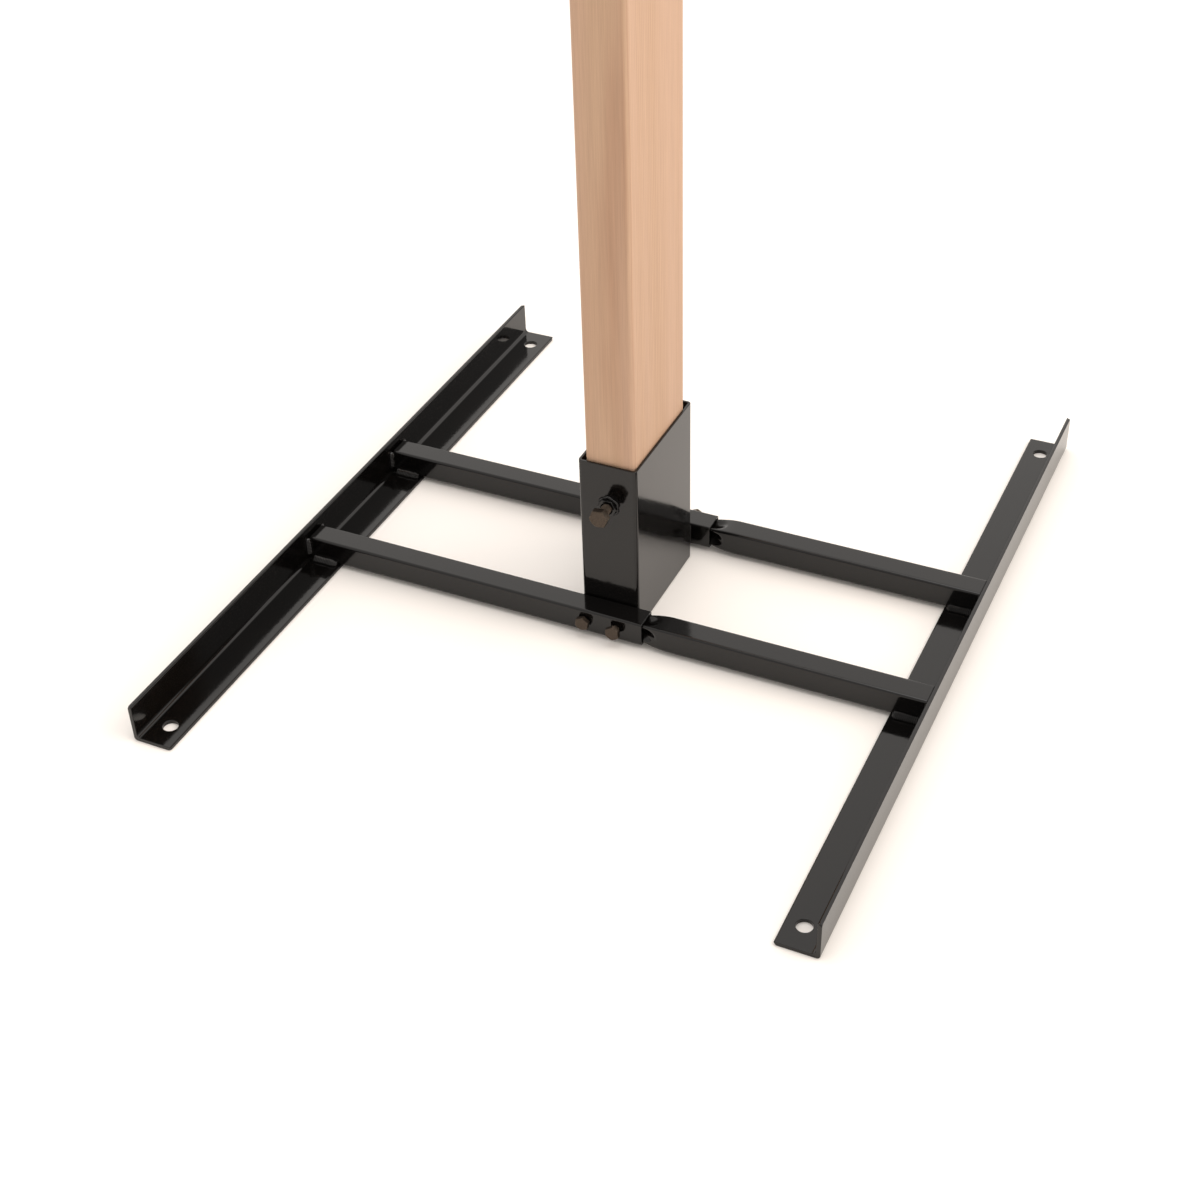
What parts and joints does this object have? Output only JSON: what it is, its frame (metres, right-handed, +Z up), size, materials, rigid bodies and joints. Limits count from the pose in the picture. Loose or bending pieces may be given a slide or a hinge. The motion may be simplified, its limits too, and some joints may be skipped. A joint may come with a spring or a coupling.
{
  "type": "knock-down post base stand",
  "caption": "Black steel H base of angle feet and plug-together square bars, with a bolted socket that holds a timber post upright.",
  "frame": {"origin": "on the floor, in the middle of the two feet and the four bars", "axes": "+Z up along the post, +X along the bars towards the plug-in foot, +Y to the back, so the clamp bolt faces -Y"},
  "size_m": [0.5, 0.6, 0.915],
  "materials": {
    "frame_coat": "gloss black powder coat",
    "bolt_black": "black zinc plated",
    "post_wood": "planed, unfinished"
  },
  "bodies": {
    "base_frame": {"left_foot": "frame_coat", "left_front_bar": "frame_coat", "left_rear_bar": "frame_coat", "post_socket": "frame_coat", "socket_spacer": "frame_coat", "clamp_nut": "frame_coat"},
    "plug_in_frame": {"right_foot": "frame_coat", "right_front_bar": "frame_coat", "right_rear_bar": "frame_coat"},
    "post": {"wood_post": "post_wood"},
    "clamp_screw": {"clamp_bolt": "bolt_black"},
    "front_inner_screw": {"front_lock_bolt_inner": "bolt_black"},
    "front_outer_screw": {"front_lock_bolt_outer": "bolt_black"},
    "rear_inner_screw": {"rear_lock_bolt_inner": "bolt_black"},
    "rear_outer_screw": {"rear_lock_bolt_outer": "bolt_black"}
  },
  "joints": [
    {"name": "frame_plug_slide", "type": "slide", "parent": "base_frame", "child": "plug_in_frame", "axis": [1, 0, 0], "range_m": [0, 0.07]},
    {"name": "post_lift", "type": "slide", "parent": "base_frame", "child": "post", "axis": [0, 0, 1], "range_m": [0, 0.13]},
    {"name": "clamp_screw_travel", "type": "slide", "parent": "base_frame", "child": "clamp_screw", "axis": [0, -1, 0], "range_m": [0, 0.006]},
    {"name": "front_inner_screw_travel", "type": "slide", "parent": "base_frame", "child": "front_inner_screw", "axis": [0, -1, 0], "range_m": [0, 0.0015]},
    {"name": "front_outer_screw_travel", "type": "slide", "parent": "base_frame", "child": "front_outer_screw", "axis": [0, -1, 0], "range_m": [0, 0.0015]},
    {"name": "rear_inner_screw_travel", "type": "slide", "parent": "base_frame", "child": "rear_inner_screw", "axis": [0, 1, 0], "range_m": [0, 0.0015]},
    {"name": "rear_outer_screw_travel", "type": "slide", "parent": "base_frame", "child": "rear_outer_screw", "axis": [0, 1, 0], "range_m": [0, 0.0015]}
  ]
}
